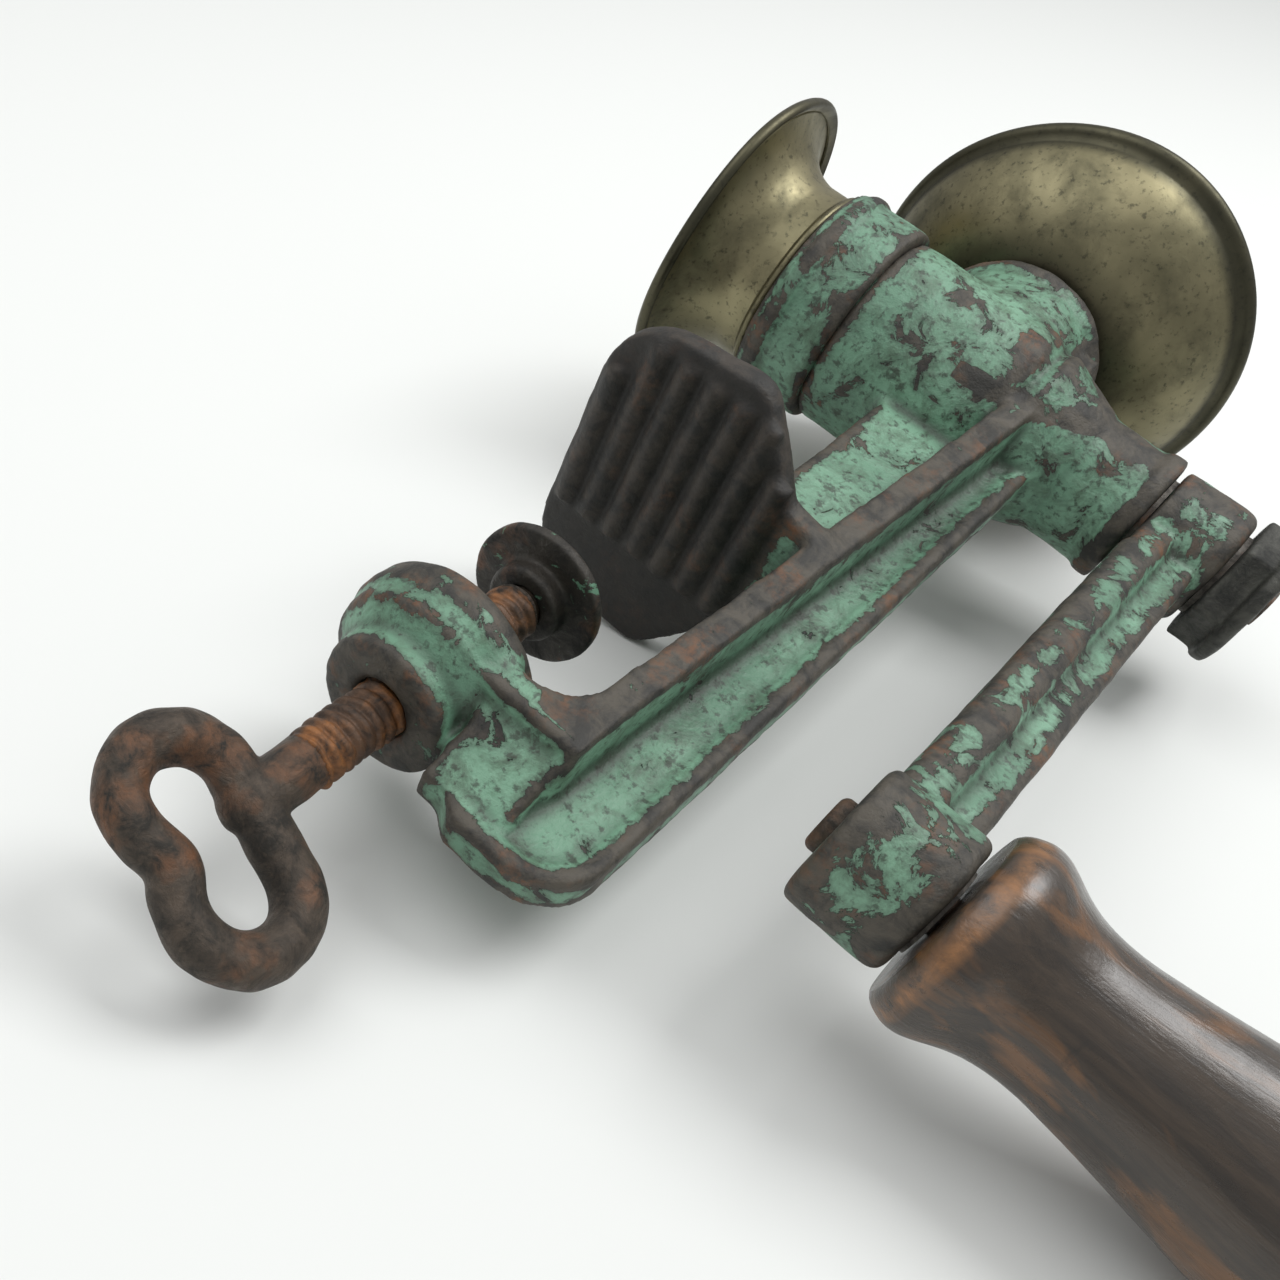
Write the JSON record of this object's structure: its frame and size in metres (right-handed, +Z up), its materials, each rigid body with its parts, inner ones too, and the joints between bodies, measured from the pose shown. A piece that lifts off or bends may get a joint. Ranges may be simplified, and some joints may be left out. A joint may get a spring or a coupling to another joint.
{
  "type": "poppy seed mill",
  "caption": "Cast iron hand mill with a table clamp, a spun hopper and outlet, and a crank with a turned wooden grip.",
  "frame": {"origin": "where the clamp screw's axis meets the plane of the fixed jaw's rib crests", "axes": "+Z up, +X along the shaft from the outlet to the crank, +Y to the left of someone who faces +X"},
  "size_m": [0.231, 0.09, 0.2765],
  "materials": {
    "painted_iron": "chipped green paint on cast iron",
    "dark_iron": "dark bare iron",
    "rusty_iron": "brown rusted iron",
    "steel": "dull old steel",
    "brass": "tarnished spun brass",
    "bronze": "dull bronze",
    "wood": "dark handled hardwood"
  },
  "bodies": {
    "mill": {"frame_casting": "painted_iron", "hopper": "brass", "hopper_set_screw": "steel", "outlet_bell": "brass", "front_collar": "painted_iron", "grinding_ring": "dark_iron", "front_bridge": "dark_iron", "adjusting_lock_nut": "steel", "rear_bush": "bronze"},
    "rotor": {"drive_shaft": "steel", "grinding_cone": "dark_iron", "cone_pin": "steel", "feed_auger": "dark_iron", "thrust_washer": "steel", "crank_arm": "painted_iron", "crank_washer": "steel", "crank_nut": "dark_iron", "handle_spindle": "steel", "grip_inner_washer": "steel", "grip_end_washer": "steel"},
    "grip": {"handle_grip": "wood"},
    "pad": {"clamp_pad": "dark_iron"},
    "screw": {"clamp_screw": "rusty_iron"},
    "button": {"thrust_button": "steel"},
    "adjuster": {"adjusting_screw": "brass"}
  },
  "joints": [
    {"name": "crank_turn", "type": "hinge", "parent": "mill", "child": "rotor", "pos_m": [0, 0, 0.092], "axis": [1, 0, 0], "continuous": true},
    {"name": "grip_turn", "type": "hinge", "parent": "rotor", "child": "grip", "pos_m": [0.0867, -0.01719, -0.05218], "axis": [1, 0, 0], "continuous": true},
    {"name": "pad_travel", "type": "slide", "parent": "mill", "child": "pad", "axis": [0, 0, 1], "range_m": [-0.0175, 0.015]},
    {"name": "screw_turn", "type": "hinge", "parent": "pad", "child": "screw", "pos_m": [0, 0, -0.06], "axis": [0, 0, 1], "range_deg": [-2520, 2160]},
    {"name": "button_travel", "type": "slide", "parent": "mill", "child": "button", "axis": [1, 0, 0], "range_m": [-0.0016, 0]},
    {"name": "adjust_turn", "type": "hinge", "parent": "button", "child": "adjuster", "pos_m": [-0.03, 0, 0.092], "axis": [1, 0, 0], "range_deg": [-720, 0]}
  ],
  "couplings": [
    {"joint": "screw_turn", "follows": "pad_travel", "rad_per_m": 2513.3},
    {"joint": "adjust_turn", "follows": "button_travel", "rad_per_m": 7854}
  ]
}
